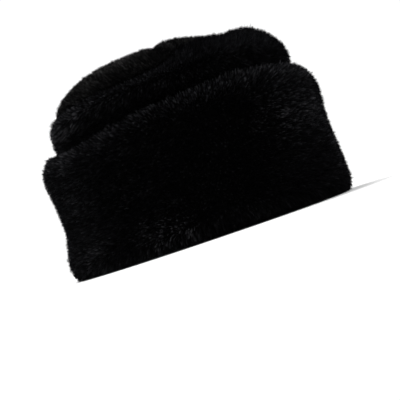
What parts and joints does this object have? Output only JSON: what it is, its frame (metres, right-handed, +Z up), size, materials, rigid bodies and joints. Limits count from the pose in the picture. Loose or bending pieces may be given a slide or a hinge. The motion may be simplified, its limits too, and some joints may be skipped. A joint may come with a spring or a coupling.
{
  "type": "faux fur cloche hat",
  "caption": "Soft cloche hat of short black plush faux fur: a domed crown set in a deep doubled brim band, open below for the head and smoothly lined.",
  "frame": {"origin": "centre of the bounding box on the table plane that the rim rests on", "axes": "+Z up along the head, the front of the hat towards -Y, the wearer's left towards +X"},
  "size_m": [0.2368, 0.2699, 0.1697],
  "materials": {
    "plush_fur": "short black plush faux fur with a soft grey sheen on its folds",
    "lining_satin": "smooth black satin with a soft shine"
  },
  "bodies": {
    "root": {"brim": "plush_fur", "crown_side": "plush_fur", "crown_top": "plush_fur", "lining": "lining_satin"}
  },
  "joints": []
}
